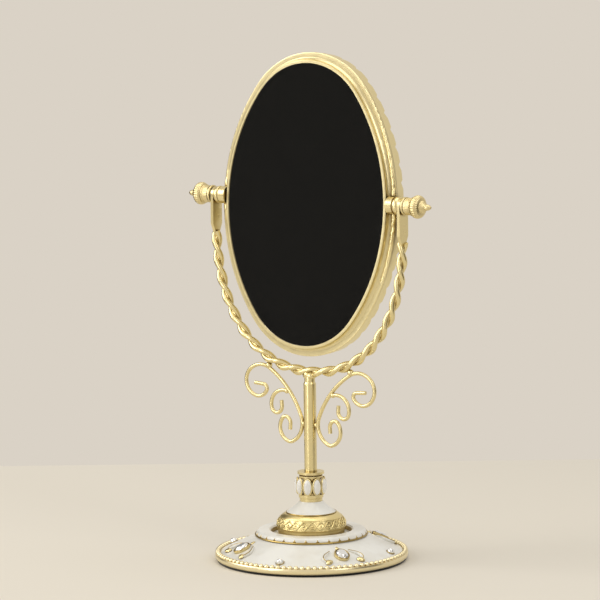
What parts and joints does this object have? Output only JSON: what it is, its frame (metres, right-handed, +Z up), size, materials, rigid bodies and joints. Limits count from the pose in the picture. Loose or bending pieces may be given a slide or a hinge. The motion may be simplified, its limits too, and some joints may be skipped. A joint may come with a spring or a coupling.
{
  "type": "table mirror",
  "caption": "Oval table mirror that tilts on finial-knob pivots in a twisted-wire yoke, on a slim post with wire scrolls and a round cream and gold base set with crystals.",
  "frame": {"origin": "centre of the base, on the table surface", "axes": "+Z up, the mirror faces -Y, X runs along the tilt pivots"},
  "size_m": [0.1888, 0.124, 0.3252],
  "materials": {
    "gold_plate": "pale gold plate, satin, lacquered",
    "cream_enamel": "cream enamel paint on cast metal, semi-gloss",
    "white_enamel": "glossy white cabochon",
    "cut_glass": "faceted clear crystal",
    "pearl": "smooth clear cabochon",
    "silvered_glass": "silvered mirror glass",
    "fibreboard": "pressed fibreboard",
    "black_felt": "black felt",
    "ballast_iron": "plain iron disc",
    "bright_steel": "bright zinc-plated steel",
    "black_fibre": "black friction washer"
  },
  "bodies": {
    "stand": {"table_pad": "black_felt", "base_board": "fibreboard", "base_dish": "cream_enamel", "rim_band": "gold_plate", "raised_ring": "cream_enamel", "boss": "gold_plate", "cone": "cream_enamel", "collar": "gold_plate", "collar_petals": "white_enamel", "ballast_disc": "ballast_iron", "tie_washer": "bright_steel", "tie_nut": "bright_steel", "tie_rod": "bright_steel", "crystal_settings": "gold_plate", "crystals": "cut_glass", "dish_pearls": "pearl", "post": "gold_plate", "yoke_strand_a": "gold_plate", "yoke_strand_b": "gold_plate", "left_tab": "gold_plate", "right_tab": "gold_plate", "left_scroll": "gold_plate", "right_scroll": "gold_plate", "left_curl": "gold_plate", "right_curl": "gold_plate"},
    "mirror_head": {"front_case": "gold_plate", "front_glass": "silvered_glass", "packing_board": "fibreboard", "rear_glass": "silvered_glass", "rear_frame": "gold_plate", "left_barrel": "gold_plate", "right_barrel": "gold_plate", "left_bush": "gold_plate", "right_bush": "gold_plate", "left_stud": "bright_steel", "right_stud": "bright_steel"},
    "left_friction_washer": {"left_washer": "black_fibre"},
    "right_friction_washer": {"right_washer": "black_fibre"},
    "left_thumb_knob": {"left_knob": "gold_plate"},
    "right_thumb_knob": {"right_knob": "gold_plate"}
  },
  "joints": [
    {"name": "head_tilt", "type": "hinge", "parent": "stand", "child": "mirror_head", "pos_m": [0, 0, 0.2317], "axis": [1, 0, 0], "continuous": true},
    {"name": "right_knob_travel", "type": "slide", "parent": "mirror_head", "child": "right_friction_washer", "axis": [1, 0, 0], "range_m": [0, 0.0007]},
    {"name": "right_knob_turn", "type": "hinge", "parent": "right_friction_washer", "child": "right_thumb_knob", "pos_m": [0.08, 0, 0.2317], "axis": [1, 0, 0], "range_deg": [0, 360]},
    {"name": "left_knob_travel", "type": "slide", "parent": "mirror_head", "child": "left_friction_washer", "axis": [-1, 0, 0], "range_m": [0, 0.0007]},
    {"name": "left_knob_turn", "type": "hinge", "parent": "left_friction_washer", "child": "left_thumb_knob", "pos_m": [-0.08, 0, 0.2317], "axis": [-1, 0, 0], "range_deg": [0, 360]}
  ],
  "couplings": [
    {"joint": "right_knob_travel", "follows": "right_knob_turn", "m_per_rad": 0.00011141},
    {"joint": "left_knob_travel", "follows": "left_knob_turn", "m_per_rad": 0.00011141}
  ]
}
